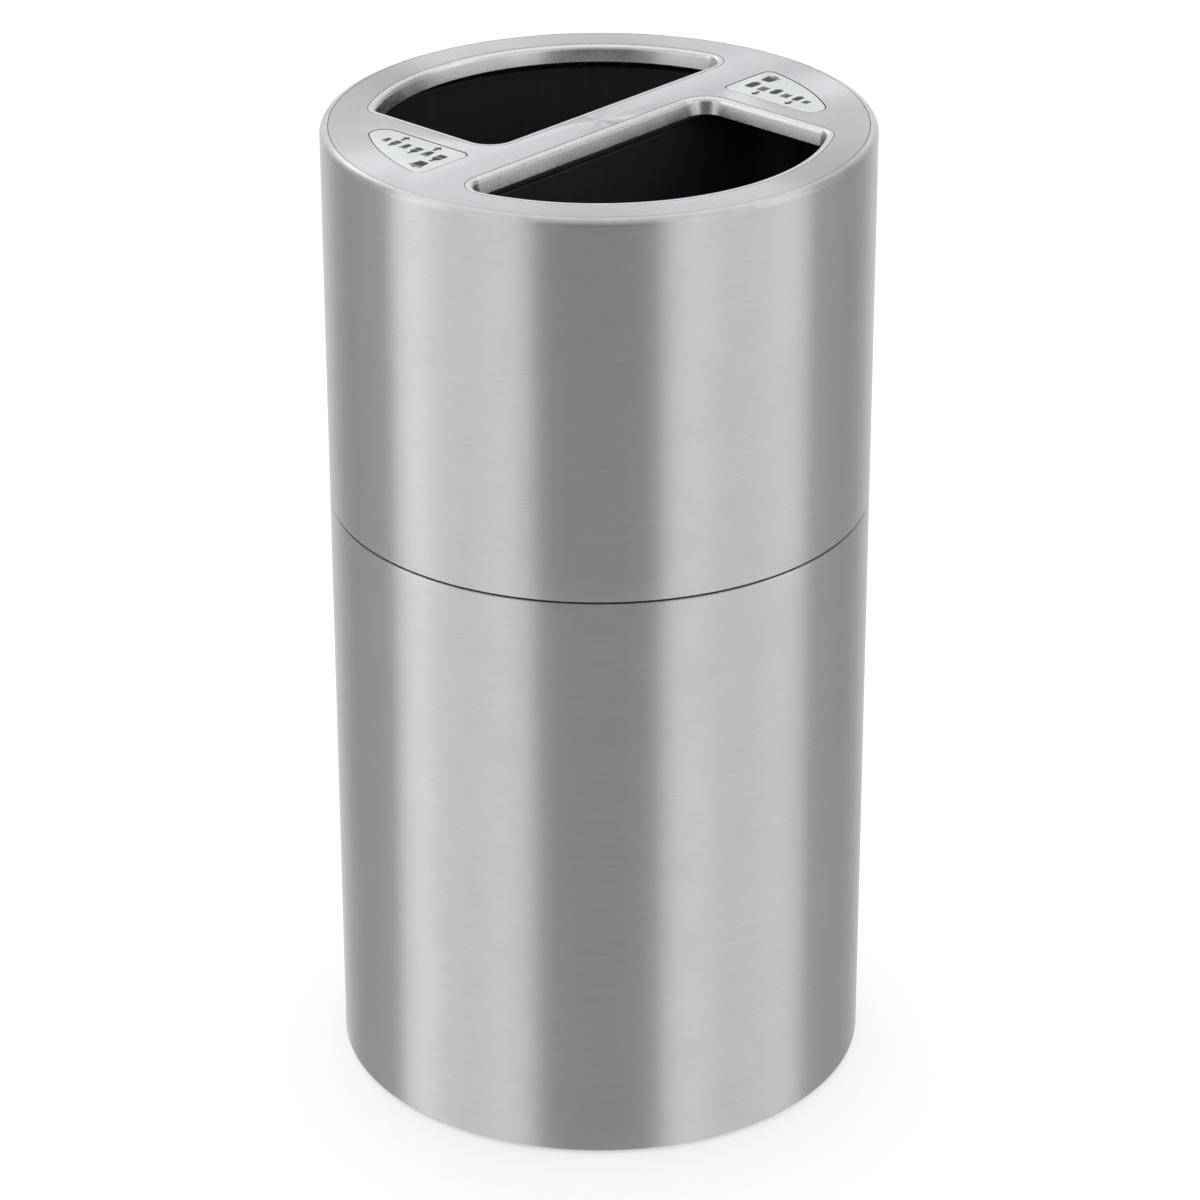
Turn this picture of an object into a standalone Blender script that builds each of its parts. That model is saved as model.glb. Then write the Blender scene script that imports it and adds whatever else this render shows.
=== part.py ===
"""Recycling bin station: a two-stream drum with a lift-off top and two half-round liners.

Metres, +Z up. The origin is the centre of the base on the floor, and the bar between the two
deposit openings runs along X. The top is symmetric under a half turn about Z.
"""

import math

import bmesh
import bpy
from mathutils import Matrix

# Driving dimensions
OUTER_R = 0.254                # drum radius
HEIGHT = 0.945                 # floor to top face
SEAM_Z = 0.580                 # middle of the joint between the two shells
SHEET = 0.0015                 # shell and pan sheet
TOP_SHEET = 0.002              # top plate sheet
TOUCH = 0.0003                 # gap left between faces that rest on each other
STEPS = 64                     # facets round the drum

# Shells
HEM = 0.0035                   # thickness of a folded hem
HEM_HEIGHT = 0.012
SHOULDER_WIDTH = 0.0075         # flat rim and rounding of the upper shell, beside the top plate
SHOULDER_R = 0.0070            # rounding of the upper shell's top corner
LIP_R = 0.0025                 # rounded lip of the lower shell
LEDGE_WIDTH = 0.011            # ledge under the top plate
GASKET_HEIGHT = 0.0014
GASKET_INSET = 0.0006
LOWER_TOP = SEAM_Z - GASKET_HEIGHT / 2 - TOUCH
UPPER_BOTTOM = SEAM_Z + GASKET_HEIGHT / 2 + TOUCH
LOWER_BOTTOM = 0.003
TURN_UNDER = 0.014             # flange under the base pan
INNER_R = OUTER_R - SHEET
HEM_INNER_R = OUTER_R - HEM

# Top plate and its openings
SHOULDER_INNER_R = OUTER_R - SHOULDER_WIDTH
TOP_PLATE_GAP = 0.0004         # between the plate and the shoulder
TOP_PLATE_R = SHOULDER_INNER_R - TOP_PLATE_GAP
LEDGE_TOP = HEIGHT - TOP_SHEET - TOUCH
LEDGE_BOTTOM = LEDGE_TOP - SHEET
LEDGE_INNER_R = SHOULDER_INNER_R - LEDGE_WIDTH
OPENING_ARC_R = 0.839 * OUTER_R
OPENING_SIDE_X = -0.475 * OUTER_R
BAR_HALF_WIDTH = 0.079 * OUTER_R
SQUARE_CORNER_R = 0.028        # opening's corner between bar and side
BAR_END_R = 0.025              # opening's corner between bar and arc
SIDE_END_R = 0.020             # opening's corner between side and arc
ROLL_R = 0.0050                # edge rolled down into the opening
LIP_DEPTH = 0.0150
LIP_DRAFT = 12                 # degrees that a lip's wall leans inwards

# Label plates
LABEL_SIDE_X = 0.565 * OUTER_R
LABEL_EDGE_Y = 0.096 * OUTER_R
LABEL_ARC_R = 0.828 * OUTER_R
LABEL_CORNER_R = 0.008
LABEL_TIP_R = 0.0135
LABEL_THICKNESS = 0.0007
POCKET_DEPTH = LABEL_THICKNESS + TOUCH

# Locating collar
COLLAR_BELOW = 0.030
COLLAR_ABOVE = 0.018
COLLAR_LOWER_R = HEM_INNER_R - TOUCH
COLLAR_STEP = 0.0012           # play for the upper shell's hem
COLLAR_UPPER_R = COLLAR_LOWER_R - COLLAR_STEP

# Base pan and feet
PAN_BOTTOM = LOWER_BOTTOM + SHEET + TOUCH
PAN_TOP = PAN_BOTTOM + SHEET
PAN_RIM_Z = 0.020
FOOT_COUNT = 4
FOOT_CIRCLE_R = 0.200
FOOT_R = 0.014
FOOT_TOP = PAN_BOTTOM - TOUCH
FOOT_TOP_CHAMFER = 0.0010
FOOT_BOTTOM_CHAMFER = 0.0008
COUNTERBORE_R = 0.0050
COUNTERBORE_DEPTH = 0.0025
SCREW_HOLE_R = 0.0024
SCREW_R = 0.0020
SCREW_HEAD_R = 0.0045
SCREW_HEAD_BOTTOM = 0.0006
SCREW_HEAD_CHAMFER = 0.0007

# Hold-down studs
STUD_COUNT = 6
STUD_FIRST_ANGLE = 33
STUD_CIRCLE_R = SHOULDER_INNER_R - LEDGE_WIDTH / 2
STUD_R = 0.0020
STUD_HOLE_R = 0.0024
STUD_LENGTH = 0.010
NUT_R = 0.0040
NUT_HEIGHT = 0.0032

# Liners
LINER_RIM_R = 0.240
LINER_RIM_Y = 0.0015           # half the gap between the two rims
LINER_CORNER_R = 0.045
LINER_WALL = 0.003
LINER_RIM_Z = HEIGHT - 0.027
LINER_BOTTOM = PAN_TOP + TOUCH
LINER_RIM_WIDTH = 0.013        # rim edge to inner wall, at the top
LINER_FLOOR_INSET = 0.029      # rim edge to inner wall, at the floor
LINER_FLOOR_ROUND = 0.010
LINER_SKIRT = 0.016
RIM_ROUND = 0.003


def clear_scene():
    for item in list(bpy.data.objects):
        bpy.data.objects.remove(item, do_unlink=True)


def make_collection(name):
    collection = bpy.data.collections.new(name)
    bpy.context.scene.collection.children.link(collection)
    return collection


def make_material(name, color, roughness, metallic):
    material = bpy.data.materials.new(name)
    material.use_nodes = True
    shader = material.node_tree.nodes["Principled BSDF"]
    shader.inputs["Base Color"].default_value = (*color, 1.0)
    shader.inputs["Roughness"].default_value = roughness
    shader.inputs["Metallic"].default_value = metallic
    return material


def add_object(name, mesh, material, collection):
    item = bpy.data.objects.new(name, mesh)
    item.data.materials.append(material)
    collection.objects.link(item)
    return item


def finish_mesh(bm, name, smooth_angle=30):
    mesh = bpy.data.meshes.new(name)
    bm.to_mesh(mesh)
    bm.free()
    mesh.shade_smooth()
    mesh.set_sharp_from_angle(angle=math.radians(smooth_angle))
    return mesh


def arc(centre, radius, start, end, count):
    """Points on an arc in degrees, both ends included."""
    angles = [math.radians(start + (end - start) * k / count) for k in range(count + 1)]
    return [(centre[0] + radius * math.cos(a), centre[1] + radius * math.sin(a)) for a in angles]


def turned(name, profile, material, collection, closed=True, steps=STEPS):
    """Turns a profile of (radius, height) points about Z. Its outer side runs top to bottom."""
    bm = bmesh.new()
    verts = [bm.verts.new((r, 0, z)) for r, z in profile]
    pairs = list(zip(verts, verts[1:]))
    if closed:
        pairs.append((verts[-1], verts[0]))
    for pair in pairs:
        bm.edges.new(pair)
    item = add_object(name, finish_mesh(bm, name), material, collection)
    screw = item.modifiers.new("turn", "SCREW")
    screw.axis = "Z"
    screw.steps = steps
    screw.render_steps = steps
    screw.use_merge_vertices = True
    screw.merge_threshold = 0.00001
    return item


def opening_outline(edge_y, side_x, arc_r, corner, bar_end, side_end, inset):
    """Region y > edge_y, x > side_x, r < arc_r with rounded corners, shrunk by inset.

    Every arc keeps its centre as the outline shrinks, so all insets have matching points.
    """
    square = (side_x + corner, edge_y + corner)
    bar = (math.sqrt((arc_r - bar_end) ** 2 - (edge_y + bar_end) ** 2), edge_y + bar_end)
    side = (side_x + side_end, math.sqrt((arc_r - side_end) ** 2 - (side_x + side_end) ** 2))
    bar_angle = math.degrees(math.atan2(bar[1], bar[0]))
    side_angle = math.degrees(math.atan2(side[1], side[0]))
    points = arc(bar, bar_end - inset, -90, bar_angle, 5)
    points += arc((0, 0), arc_r - inset, bar_angle, side_angle, 20)[1:]
    points += arc(side, side_end - inset, side_angle, 180, 4)[1:]
    points += arc(square, corner - inset, 180, 270, 4)
    return points


def deposit_outline(inset):
    return opening_outline(BAR_HALF_WIDTH, OPENING_SIDE_X, OPENING_ARC_R, SQUARE_CORNER_R, BAR_END_R,
                           SIDE_END_R, inset)


def label_outline(inset):
    return opening_outline(LABEL_EDGE_Y, LABEL_SIDE_X, LABEL_ARC_R, LABEL_CORNER_R, LABEL_CORNER_R,
                           LABEL_TIP_R, inset)


def liner_outline(inset):
    """Half-round region y > LINER_RIM_Y, r < LINER_RIM_R with rounded ends, shrunk by inset."""
    reach = math.sqrt((LINER_RIM_R - LINER_CORNER_R) ** 2 - (LINER_RIM_Y + LINER_CORNER_R) ** 2)
    height = LINER_RIM_Y + LINER_CORNER_R
    angle = math.degrees(math.atan2(height, reach))
    radius = LINER_CORNER_R - inset
    points = arc((reach, height), radius, -90, angle, 6)
    points += arc((0, 0), LINER_RIM_R - inset, angle, 180 - angle, 22)[1:]
    points += arc((-reach, height), radius, 180 - angle, 270, 6)[1:]
    return points


def half_turn(points):
    return [(-x, -y) for x, y in points]


def mirror_x(points):
    return [(-x, y) for x, y in reversed(points)]


def add_ring(bm, points, z):
    return [bm.verts.new((x, y, z)) for x, y in points]


def join_rings(bm, lower, upper):
    """Quads between two rings of matching points."""
    count = len(lower)
    for k in range(count):
        after = (k + 1) % count
        bm.faces.new((lower[k], lower[after], upper[after], upper[k]))


def prism(name, points, bottom, top, material, collection):
    bm = bmesh.new()
    face = bm.faces.new(add_ring(bm, points, bottom))
    grown = bmesh.ops.extrude_face_region(bm, geom=[face])
    moved = [v for v in grown["geom"] if isinstance(v, bmesh.types.BMVert)]
    bmesh.ops.translate(bm, vec=(0, 0, top - bottom), verts=moved)
    bmesh.ops.recalc_face_normals(bm, faces=bm.faces)
    return add_object(name, finish_mesh(bm, name), material, collection)


def thicken(item, thickness):
    """Adds the sheet's thickness behind its visible side."""
    solidify = item.modifiers.new("sheet", "SOLIDIFY")
    solidify.thickness = thickness
    solidify.offset = -1
    solidify.use_even_offset = True


def cut(item, cutter):
    boolean = item.modifiers.new("cut_" + cutter.name, "BOOLEAN")
    boolean.operation = "DIFFERENCE"
    boolean.object = cutter
    cutter.hide_render = True
    cutter.display_type = "WIRE"


def hole_cutter(name, radius, bottom, top, place, material, cutters):
    bm = bmesh.new()
    middle = Matrix.Translation((0, 0, (bottom + top) / 2))
    bmesh.ops.create_cone(bm, cap_ends=True, segments=12, radius1=radius, radius2=radius,
                          depth=top - bottom, matrix=middle)
    cutter = add_object(name, finish_mesh(bm, name), material, cutters)
    cutter.location = (*place, 0)
    return cutter


def circle_places(count, radius, first):
    return [(radius * math.cos(math.radians(first + 360 * k / count)),
             radius * math.sin(math.radians(first + 360 * k / count))) for k in range(count)]


def build_upper_shell(metal, parts, cutters):
    centre = (OUTER_R - SHOULDER_R, HEIGHT - SHOULDER_R)
    inner_r = SHOULDER_R - SHEET
    meet = math.degrees(math.asin((LEDGE_BOTTOM - centre[1]) / inner_r))
    profile = [(SHOULDER_INNER_R, HEIGHT)] + arc(centre, SHOULDER_R, 90, 0, 5)
    profile += [(OUTER_R, UPPER_BOTTOM), (HEM_INNER_R, UPPER_BOTTOM),
                (HEM_INNER_R, UPPER_BOTTOM + HEM_HEIGHT),
                (INNER_R, UPPER_BOTTOM + HEM_HEIGHT + HEM - SHEET)]
    profile += arc(centre, inner_r, 0, meet, 2)
    profile += [(LEDGE_INNER_R, LEDGE_BOTTOM), (LEDGE_INNER_R, LEDGE_TOP),
                (SHOULDER_INNER_R, LEDGE_TOP)]
    shell = turned("upper_shell", profile, metal, parts)
    for k, place in enumerate(circle_places(STUD_COUNT, STUD_CIRCLE_R, STUD_FIRST_ANGLE)):
        cut(shell, hole_cutter(f"stud_hole_{k + 1}", STUD_HOLE_R, LEDGE_BOTTOM - SHEET,
                               LEDGE_TOP + SHEET, place, metal, cutters))


def build_lower_shell(metal, parts):
    top_centre = (OUTER_R - LIP_R, LOWER_TOP - LIP_R)
    bottom_centre = (OUTER_R - LIP_R, LOWER_BOTTOM + LIP_R)
    hem_end = LOWER_TOP - HEM_HEIGHT
    profile = arc(top_centre, LIP_R, 90, 0, 4)
    profile += arc(bottom_centre, LIP_R, 0, -90, 3)
    profile += [(OUTER_R - TURN_UNDER, LOWER_BOTTOM), (OUTER_R - TURN_UNDER, LOWER_BOTTOM + SHEET),
                (INNER_R, LOWER_BOTTOM + SHEET), (INNER_R, hem_end - (HEM - SHEET)),
                (HEM_INNER_R, hem_end), (HEM_INNER_R, LOWER_TOP)]
    turned("lower_shell", profile, metal, parts)


def build_collar(metal, parts):
    joggle = LOWER_TOP
    profile = [(COLLAR_UPPER_R, SEAM_Z + COLLAR_ABOVE), (COLLAR_UPPER_R, joggle),
               (COLLAR_LOWER_R, joggle - HEM), (COLLAR_LOWER_R, SEAM_Z - COLLAR_BELOW),
               (COLLAR_LOWER_R - SHEET, SEAM_Z - COLLAR_BELOW), (COLLAR_LOWER_R - SHEET, joggle - HEM),
               (COLLAR_UPPER_R - SHEET, joggle), (COLLAR_UPPER_R - SHEET, SEAM_Z + COLLAR_ABOVE)]
    turned("locating_collar", profile, metal, parts)


def build_gasket(rubber, parts):
    inner, outer = HEM_INNER_R + TOUCH, OUTER_R - GASKET_INSET
    bottom, top = LOWER_TOP + TOUCH, UPPER_BOTTOM - TOUCH
    turned("seam_gasket", [(outer, top), (outer, bottom), (inner, bottom), (inner, top)], rubber, parts)


def build_base_pan(metal, parts, cutters):
    outer = INNER_R - TOUCH
    profile = [(0, PAN_TOP), (outer - SHEET, PAN_TOP), (outer - SHEET, PAN_RIM_Z), (outer, PAN_RIM_Z),
               (outer, PAN_BOTTOM), (0, PAN_BOTTOM)]
    pan = turned("base_pan", profile, metal, parts, closed=False)
    for k, place in enumerate(circle_places(FOOT_COUNT, FOOT_CIRCLE_R, 45)):
        cut(pan, hole_cutter(f"pan_hole_{k + 1}", SCREW_HOLE_R, PAN_BOTTOM - SHEET, PAN_TOP + SHEET,
                             place, metal, cutters))


def build_feet(rubber, steel, parts):
    foot = [(FOOT_R - FOOT_TOP_CHAMFER, FOOT_TOP), (FOOT_R, FOOT_TOP - FOOT_TOP_CHAMFER),
            (FOOT_R, FOOT_BOTTOM_CHAMFER), (FOOT_R - FOOT_BOTTOM_CHAMFER, 0), (COUNTERBORE_R, 0),
            (COUNTERBORE_R, COUNTERBORE_DEPTH), (SCREW_HOLE_R, COUNTERBORE_DEPTH), (SCREW_HOLE_R, FOOT_TOP)]
    head_top = COUNTERBORE_DEPTH - TOUCH
    screw = [(0, PAN_TOP - TOUCH), (SCREW_R, PAN_TOP - TOUCH), (SCREW_R, head_top), (SCREW_HEAD_R, head_top),
             (SCREW_HEAD_R, SCREW_HEAD_BOTTOM + SCREW_HEAD_CHAMFER),
             (SCREW_HEAD_R - SCREW_HEAD_CHAMFER, SCREW_HEAD_BOTTOM), (0, SCREW_HEAD_BOTTOM)]
    for k, place in enumerate(circle_places(FOOT_COUNT, FOOT_CIRCLE_R, 45)):
        turned(f"foot_{k + 1}", foot, rubber, parts, steps=16).location = (*place, 0)
        turned(f"foot_screw_{k + 1}", screw, steel, parts, closed=False, steps=12).location = (*place, 0)


def build_studs(steel, parts):
    top = HEIGHT - TOP_SHEET - TOUCH
    nut_top = LEDGE_BOTTOM - TOUCH
    nut_bottom = nut_top - NUT_HEIGHT
    profile = [(0, top), (STUD_R, top), (STUD_R, nut_top), (NUT_R, nut_top), (NUT_R, nut_bottom),
               (STUD_R, nut_bottom), (STUD_R, top - STUD_LENGTH), (0, top - STUD_LENGTH)]
    for k, place in enumerate(circle_places(STUD_COUNT, STUD_CIRCLE_R, STUD_FIRST_ANGLE)):
        turned(f"hold_down_stud_{k + 1}", profile, steel, parts, closed=False, steps=6).location = (*place, 0)


def build_top_plate(metal, parts, cutters):
    bm = bmesh.new()
    rim = bmesh.ops.create_circle(bm, cap_ends=False, segments=STEPS, radius=TOP_PLATE_R)["verts"]
    bmesh.ops.translate(bm, vec=(0, 0, HEIGHT), verts=rim)
    roll_end = 90 - LIP_DRAFT
    roll = [(ROLL_R * math.sin(math.radians(a)), ROLL_R * (1 - math.cos(math.radians(a))))
            for a in (0, roll_end / 4, roll_end / 2, roll_end * 3 / 4, roll_end)]
    wall = LIP_DEPTH - roll[-1][1]
    roll.append((roll[-1][0] + wall * math.tan(math.radians(LIP_DRAFT)), LIP_DEPTH))
    lips = []
    for turn in (False, True):
        rings = []
        for inset, depth in roll:
            points = deposit_outline(inset)
            rings.append(add_ring(bm, half_turn(points) if turn else points, HEIGHT - depth))
        count = len(rings[0])
        for k in range(count):
            bm.edges.new((rings[0][k], rings[0][(k + 1) % count]))
        lips.append(rings)
    bmesh.ops.triangle_fill(bm, use_beauty=True, edges=bm.edges[:], normal=(0, 0, 1))
    for rings in lips:
        for upper, lower in zip(rings, rings[1:]):
            join_rings(bm, upper, lower)
    bmesh.ops.recalc_face_normals(bm, faces=bm.faces)
    bm.faces.ensure_lookup_table()
    flat = max(bm.faces, key=lambda f: f.calc_center_median().z)
    if flat.normal.z < 0:
        bmesh.ops.reverse_faces(bm, faces=bm.faces)
    plate = add_object("top_plate", finish_mesh(bm, "top_plate"), metal, parts)
    thicken(plate, TOP_SHEET)
    for name, turn in (("plastics_label_pocket", False), ("cans_label_pocket", True)):
        points = mirror_x(label_outline(-TOUCH))
        points = half_turn(points) if turn else points
        cut(plate, prism(name, points, HEIGHT - POCKET_DEPTH, HEIGHT + SHEET, metal, cutters))


def build_label_plates(label, parts):
    points = mirror_x(label_outline(0))
    bottom = HEIGHT - LABEL_THICKNESS
    prism("plastics_label_plate", points, bottom, HEIGHT, label, parts)
    prism("cans_label_plate", half_turn(points), bottom, HEIGHT, label, parts)


def liner_section():
    """(inset, height) along the visible side: floor, inner wall, rolled rim, skirt."""
    floor_z = LINER_BOTTOM + LINER_WALL
    floor_round = LINER_FLOOR_ROUND
    section = [(LINER_FLOOR_INSET + floor_round * (1 - math.sin(math.radians(a))),
                floor_z + floor_round * (1 - math.cos(math.radians(a)))) for a in (0, 30, 60, 90)]
    for a in (0, 45, 90):
        section.append((LINER_RIM_WIDTH - RIM_ROUND * (1 - math.cos(math.radians(a))),
                        LINER_RIM_Z - RIM_ROUND * (1 - math.sin(math.radians(a)))))
    for a in (90, 45, 0):
        section.append((RIM_ROUND * (1 - math.cos(math.radians(a))),
                        LINER_RIM_Z - RIM_ROUND * (1 - math.sin(math.radians(a)))))
    section.append((0, LINER_RIM_Z - LINER_SKIRT))
    return section


def build_liner(name, turn, plastic, parts):
    bm = bmesh.new()
    rings = []
    for inset, z in liner_section():
        points = liner_outline(inset)
        rings.append(add_ring(bm, half_turn(points) if turn else points, z))
    bm.faces.new(rings[0])
    for lower, upper in zip(rings, rings[1:]):
        join_rings(bm, lower, upper)
    bmesh.ops.recalc_face_normals(bm, faces=bm.faces)
    bm.faces.ensure_lookup_table()
    if bm.faces[0].normal.z < 0:
        bmesh.ops.reverse_faces(bm, faces=bm.faces)
    thicken(add_object(name, finish_mesh(bm, name), plastic, parts), LINER_WALL)


def main():
    clear_scene()
    parts = make_collection("recycling_bin_station")
    cutters = make_collection("cutters")
    metal = make_material("brushed_aluminium", (0.62, 0.63, 0.65), 0.32, 1.0)
    label = make_material("label_aluminium", (0.68, 0.70, 0.72), 0.40, 0.9)
    steel = make_material("zinc_steel", (0.50, 0.50, 0.51), 0.35, 1.0)
    plastic = make_material("black_plastic", (0.010, 0.010, 0.011), 0.45, 0.0)
    rubber = make_material("black_rubber", (0.015, 0.015, 0.015), 0.70, 0.0)
    build_upper_shell(metal, parts, cutters)
    build_top_plate(metal, parts, cutters)
    build_label_plates(label, parts)
    build_studs(steel, parts)
    build_lower_shell(metal, parts)
    build_collar(metal, parts)
    build_gasket(rubber, parts)
    build_base_pan(metal, parts, cutters)
    build_feet(rubber, steel, parts)
    build_liner("plastics_liner", False, plastic, parts)
    build_liner("cans_liner", True, plastic, parts)


main()
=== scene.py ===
"""Looks of the recycling bin station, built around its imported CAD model.

Metres, +Z up, the CAD frame: the origin is the centre of the base on the floor and the bar
between the two deposit openings runs along X. Outlines are (inset, depth) sections lofted
round a plan outline, or (radius, height) profiles turned about Z.
"""

import math

import bmesh
import bpy
from mathutils import Matrix, Vector


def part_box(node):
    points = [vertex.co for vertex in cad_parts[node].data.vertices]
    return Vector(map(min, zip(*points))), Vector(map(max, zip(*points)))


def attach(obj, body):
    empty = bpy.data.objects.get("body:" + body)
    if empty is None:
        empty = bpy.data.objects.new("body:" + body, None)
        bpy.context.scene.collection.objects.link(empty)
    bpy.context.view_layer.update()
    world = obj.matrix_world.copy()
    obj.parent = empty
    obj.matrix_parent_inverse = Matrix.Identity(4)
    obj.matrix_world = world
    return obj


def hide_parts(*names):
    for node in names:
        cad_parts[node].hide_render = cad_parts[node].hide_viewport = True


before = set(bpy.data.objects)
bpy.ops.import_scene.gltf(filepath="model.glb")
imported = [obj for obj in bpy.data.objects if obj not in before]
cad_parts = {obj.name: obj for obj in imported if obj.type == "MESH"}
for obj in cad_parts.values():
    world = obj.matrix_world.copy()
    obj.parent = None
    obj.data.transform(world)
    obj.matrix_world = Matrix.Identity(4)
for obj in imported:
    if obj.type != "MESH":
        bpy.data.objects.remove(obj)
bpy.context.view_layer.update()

# Sizes read from the CAD model
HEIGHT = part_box("top_plate")[1].z
OUTER_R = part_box("lower_shell")[1].x
LOWER_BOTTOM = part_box("lower_shell")[0].z
LOWER_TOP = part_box("lower_shell")[1].z
UPPER_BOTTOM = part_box("upper_shell")[0].z
TOP_PLATE_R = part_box("top_plate")[1].x
GASKET_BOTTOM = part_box("seam_gasket")[0].z
GASKET_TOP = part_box("seam_gasket")[1].z
GASKET_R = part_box("seam_gasket")[1].x
COLLAR_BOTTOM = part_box("locating_collar")[0].z
COLLAR_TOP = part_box("locating_collar")[1].z
COLLAR_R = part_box("locating_collar")[1].x
PAN_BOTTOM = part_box("base_pan")[0].z
PAN_RIM_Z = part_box("base_pan")[1].z
PAN_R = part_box("base_pan")[1].x
LINER_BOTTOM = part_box("plastics_liner")[0].z
LINER_RIM_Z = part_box("plastics_liner")[1].z
LINER_RIM_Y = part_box("plastics_liner")[0].y
FOOT_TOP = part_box("foot_1")[1].z

# Sizes repeated from the CAD source
SHEET = 0.0015
TOP_SHEET = 0.002
TOUCH = 0.0003
HEM = 0.0035
HEM_HEIGHT = 0.012
SHOULDER_WIDTH = 0.0075
SHOULDER_R = 0.0070
LIP_R = 0.0025
TURN_UNDER = 0.014
LEDGE_WIDTH = 0.011
INNER_R = OUTER_R - SHEET
HEM_INNER_R = OUTER_R - HEM
SHOULDER_INNER_R = OUTER_R - SHOULDER_WIDTH
LEDGE_TOP = HEIGHT - TOP_SHEET - TOUCH
LEDGE_BOTTOM = LEDGE_TOP - SHEET
OPENING_ARC_R = 0.839 * OUTER_R
OPENING_SIDE_X = -0.475 * OUTER_R
BAR_HALF_WIDTH = 0.079 * OUTER_R
SQUARE_CORNER_R = 0.028
BAR_END_R = 0.025
SIDE_END_R = 0.020
ROLL_R = 0.0050
LIP_DEPTH = 0.0150
LIP_DRAFT = 12                 # degrees that a lip's wall leans inwards
LABEL_SIDE_X = 0.565 * OUTER_R
LABEL_EDGE_Y = 0.096 * OUTER_R
LABEL_ARC_R = 0.828 * OUTER_R
LABEL_CORNER_R = 0.008
LABEL_TIP_R = 0.0135
POCKET_DEPTH = 0.0010
LINER_RIM_R = 0.240
LINER_CORNER_R = 0.045
LINER_WALL = 0.003
LINER_RIM_WIDTH = 0.013
LINER_FLOOR_INSET = 0.029
LINER_FLOOR_ROUND = 0.010
LINER_SKIRT = 0.016
RIM_ROUND = 0.003

# Details that only the looks have. Pairs are (distance outside the outline, depth).
LIP_GROOVE = ((0.0034, 0.0), (0.0031, 0.00005), (0.0028, 0.00030), (0.0025, 0.00030),
              (0.0021, 0.00008))
POCKET_EDGE = ((0.0015, 0), (0.0011, 0.00008), (0.0008, 0.0003), (0.0007, 0.0006),
               (0.0006, POCKET_DEPTH))
# Pairs here are (inset, depth)
PLATE_EDGE = ((0.0012, 0), (0.0005, 0.00006), (0.00015, 0.0003), (0, 0.0007), (0, TOP_SHEET))
LABEL_EDGE = ((0.0004, 0), (0.0001, 0.00008), (0, 0.0003))
LABEL_SINK = 0.00018           # a label plate's face below the top
INK_HALF = 0.0001              # half the height of a pictogram's ink
EDGE = 0.0004                  # rounding of a cut sheet edge
EDGE_BAND = 0.02               # plain band of wall beside a rounded end

# Fineness: points round a circle, or bands of a rounding
DRUM_STEPS = 288
BOLT_STEPS = 48
FOOT_STEPS = 64
SHOULDER_STEPS = 14
LIP_STEPS = 12
LIP_BACK_STEPS = 5
SMOOTH_ANGLE = 35              # degrees, above which an edge is sharp


# ---------------------------------------------------------------- geometry helpers

def arc(centre, radius, start, end, count):
    """Points on an arc in degrees, both ends included."""
    angles = [math.radians(start + (end - start) * k / count) for k in range(count + 1)]
    return [(centre[0] + radius * math.cos(a), centre[1] + radius * math.sin(a)) for a in angles]


def finish_mesh(bm, name, materials):
    bmesh.ops.recalc_face_normals(bm, faces=bm.faces)
    mesh = bpy.data.meshes.new(name)
    bm.to_mesh(mesh)
    bm.free()
    mesh.shade_smooth()
    mesh.set_sharp_from_angle(angle=math.radians(SMOOTH_ANGLE))
    for material in materials:
        mesh.materials.append(material)
    item = bpy.data.objects.new(name, mesh)
    bpy.context.scene.collection.objects.link(item)
    return item


def add_ring(bm, points, z):
    return [bm.verts.new((x, y, z)) for x, y in points]


def join_rings(bm, first, second, slot=0):
    count = len(first)
    for k in range(count):
        after = (k + 1) % count
        bm.faces.new((first[k], first[after], second[after], second[k])).material_index = slot


def map_strip(bm, rings, faces):
    """Sets U to the metres round the first ring and V to the metres down the strip."""
    layer = bm.loops.layers.uv.get("UVMap") or bm.loops.layers.uv.new("UVMap")
    count = len(rings[0])
    along, total = [0.0], 0.0
    for k in range(count):
        total += (rings[0][(k + 1) % count].co - rings[0][k].co).length
        along.append(total)
    down, depth = [0.0], 0.0
    for upper, lower in zip(rings, rings[1:]):
        depth += (lower[0].co - upper[0].co).length
        down.append(depth)
    place = {vert: (k, level) for level, ring in enumerate(rings) for k, vert in enumerate(ring)}
    for face in faces:
        starts = [place[loop.vert][0] for loop in face.loops]
        wraps = max(starts) - min(starts) > 1
        for loop in face.loops:
            k, level = place[loop.vert]
            loop[layer].uv = (along[count] if wraps and k == 0 else along[k], down[level])


def circle(radius, count=DRUM_STEPS):
    angles = [2 * math.pi * k / count for k in range(count)]
    return [(radius * math.cos(a), radius * math.sin(a)) for a in angles]


def hexagon(apothem, count):
    """A hexagon sampled at the same angles as a circle of as many points."""
    points = []
    for k in range(count):
        a = 2 * math.pi * k / count
        radius = apothem / math.cos((a % (math.pi / 3)) - math.pi / 6)
        points.append((radius * math.cos(a), radius * math.sin(a)))
    return points


def moved(points, x, y):
    return [(x + px, y + py) for px, py in points]


def turned(name, profile, materials, steps=DRUM_STEPS, centre=(0, 0), last=0, first_bands=0):
    """Turns a closed (radius, height) profile about a vertical axis.

    The last few bands take the second material, and the first few the third.
    """
    bm = bmesh.new()
    rings = [add_ring(bm, moved(circle(radius, steps), *centre), z) for radius, z in profile]
    pairs = list(zip(rings, rings[1:] + rings[:1]))
    for k, (first, second) in enumerate(pairs):
        slot = 1 if k >= len(pairs) - last else 2 if k < first_bands else 0
        join_rings(bm, first, second, slot)
    return finish_mesh(bm, name, materials)


def lofted(name, sections, materials):
    """Joins (outline, height) sections in their order and caps both ends."""
    bm = bmesh.new()
    rings = [add_ring(bm, points, z) for points, z in sections]
    for first, second in zip(rings, rings[1:]):
        join_rings(bm, first, second)
    bm.faces.new(rings[0])
    bm.faces.new(rings[-1])
    return finish_mesh(bm, name, materials)


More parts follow.
